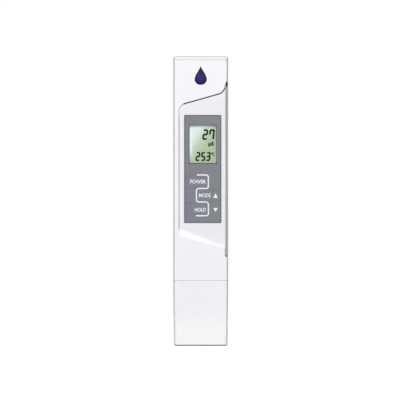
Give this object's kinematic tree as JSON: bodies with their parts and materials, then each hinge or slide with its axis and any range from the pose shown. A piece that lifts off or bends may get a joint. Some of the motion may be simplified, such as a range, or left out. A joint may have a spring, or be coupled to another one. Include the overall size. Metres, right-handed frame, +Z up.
{
  "type": "water quality tester",
  "caption": "Pen-shaped water quality tester: white housing with sunk panel, grey keypad overlay, display, pull-off probe cap and battery tray.",
  "frame": {"origin": "middle of the cap's flat end, on which the tester stands", "axes": "+Z up the tester's length to the battery tray, -Y out of the display, +X to the viewer's right"},
  "size_m": [0.0286, 0.014, 0.15],
  "materials": {
    "shell_white": "satin gloss, faint moulding texture",
    "overlay_grey": "matt printed film",
    "window_clear": "clear polished",
    "display_glass": "polished",
    "reflector_foil": "satin foil",
    "frame_black": "matt",
    "soft_black": "matt rubber",
    "board_green": "solder mask",
    "plated_steel": "plated",
    "cell_steel": "bright plated",
    "ceramic_tan": "ceramic",
    "probe_white": "matt",
    "electrode_metal": "fine satin"
  },
  "bodies": {
    "housing": {"front_housing": "shell_white", "rear_housing": "shell_white", "keypad_overlay": "overlay_grey", "display_window": "window_clear", "lcd_front_glass": "display_glass", "lcd_rear_glass": "display_glass", "lcd_reflector": "reflector_foil", "lcd_frame": "frame_black", "power_switch_base": "frame_black", "mode_switch_base": "frame_black", "hold_switch_base": "frame_black", "controller_chip": "frame_black", "zebra_strip": "soft_black", "neck_seal": "soft_black", "circuit_board": "board_green", "housing_screws": "plated_steel", "power_switch_cover": "plated_steel", "mode_switch_cover": "plated_steel", "hold_switch_cover": "plated_steel", "quartz_crystal": "plated_steel", "negative_contact": "plated_steel", "positive_contact": "plated_steel", "board_capacitors": "ceramic_tan", "probe_head": "probe_white", "electrode_left": "electrode_metal", "electrode_right": "electrode_metal", "temperature_sensor": "electrode_metal"},
    "tray": {"battery_tray": "shell_white", "tray_seal": "soft_black", "coin_cell": "cell_steel"},
    "cap": {"cap": "shell_white"},
    "power_button": {"power_key": "overlay_grey", "power_switch_stem": "frame_black"},
    "mode_button": {"mode_key": "overlay_grey", "mode_switch_stem": "frame_black"},
    "hold_button": {"hold_key": "overlay_grey", "hold_switch_stem": "frame_black"}
  },
  "joints": [
    {"name": "cap_slide", "type": "slide", "parent": "housing", "child": "cap", "axis": [0, 0, -1], "range_m": [0, 0.03]},
    {"name": "tray_slide", "type": "slide", "parent": "housing", "child": "tray", "axis": [0, 0, 1], "range_m": [0, 0.026]},
    {"name": "power_press", "type": "slide", "parent": "housing", "child": "power_button", "axis": [0, 1, 0], "range_m": [0, 0.0003], "stiffness_N_per_m": 4000, "springref_m": -0.0001},
    {"name": "mode_press", "type": "slide", "parent": "housing", "child": "mode_button", "axis": [0, 1, 0], "range_m": [0, 0.0003], "stiffness_N_per_m": 4000, "springref_m": -0.0001},
    {"name": "hold_press", "type": "slide", "parent": "housing", "child": "hold_button", "axis": [0, 1, 0], "range_m": [0, 0.0003], "stiffness_N_per_m": 4000, "springref_m": -0.0001}
  ]
}
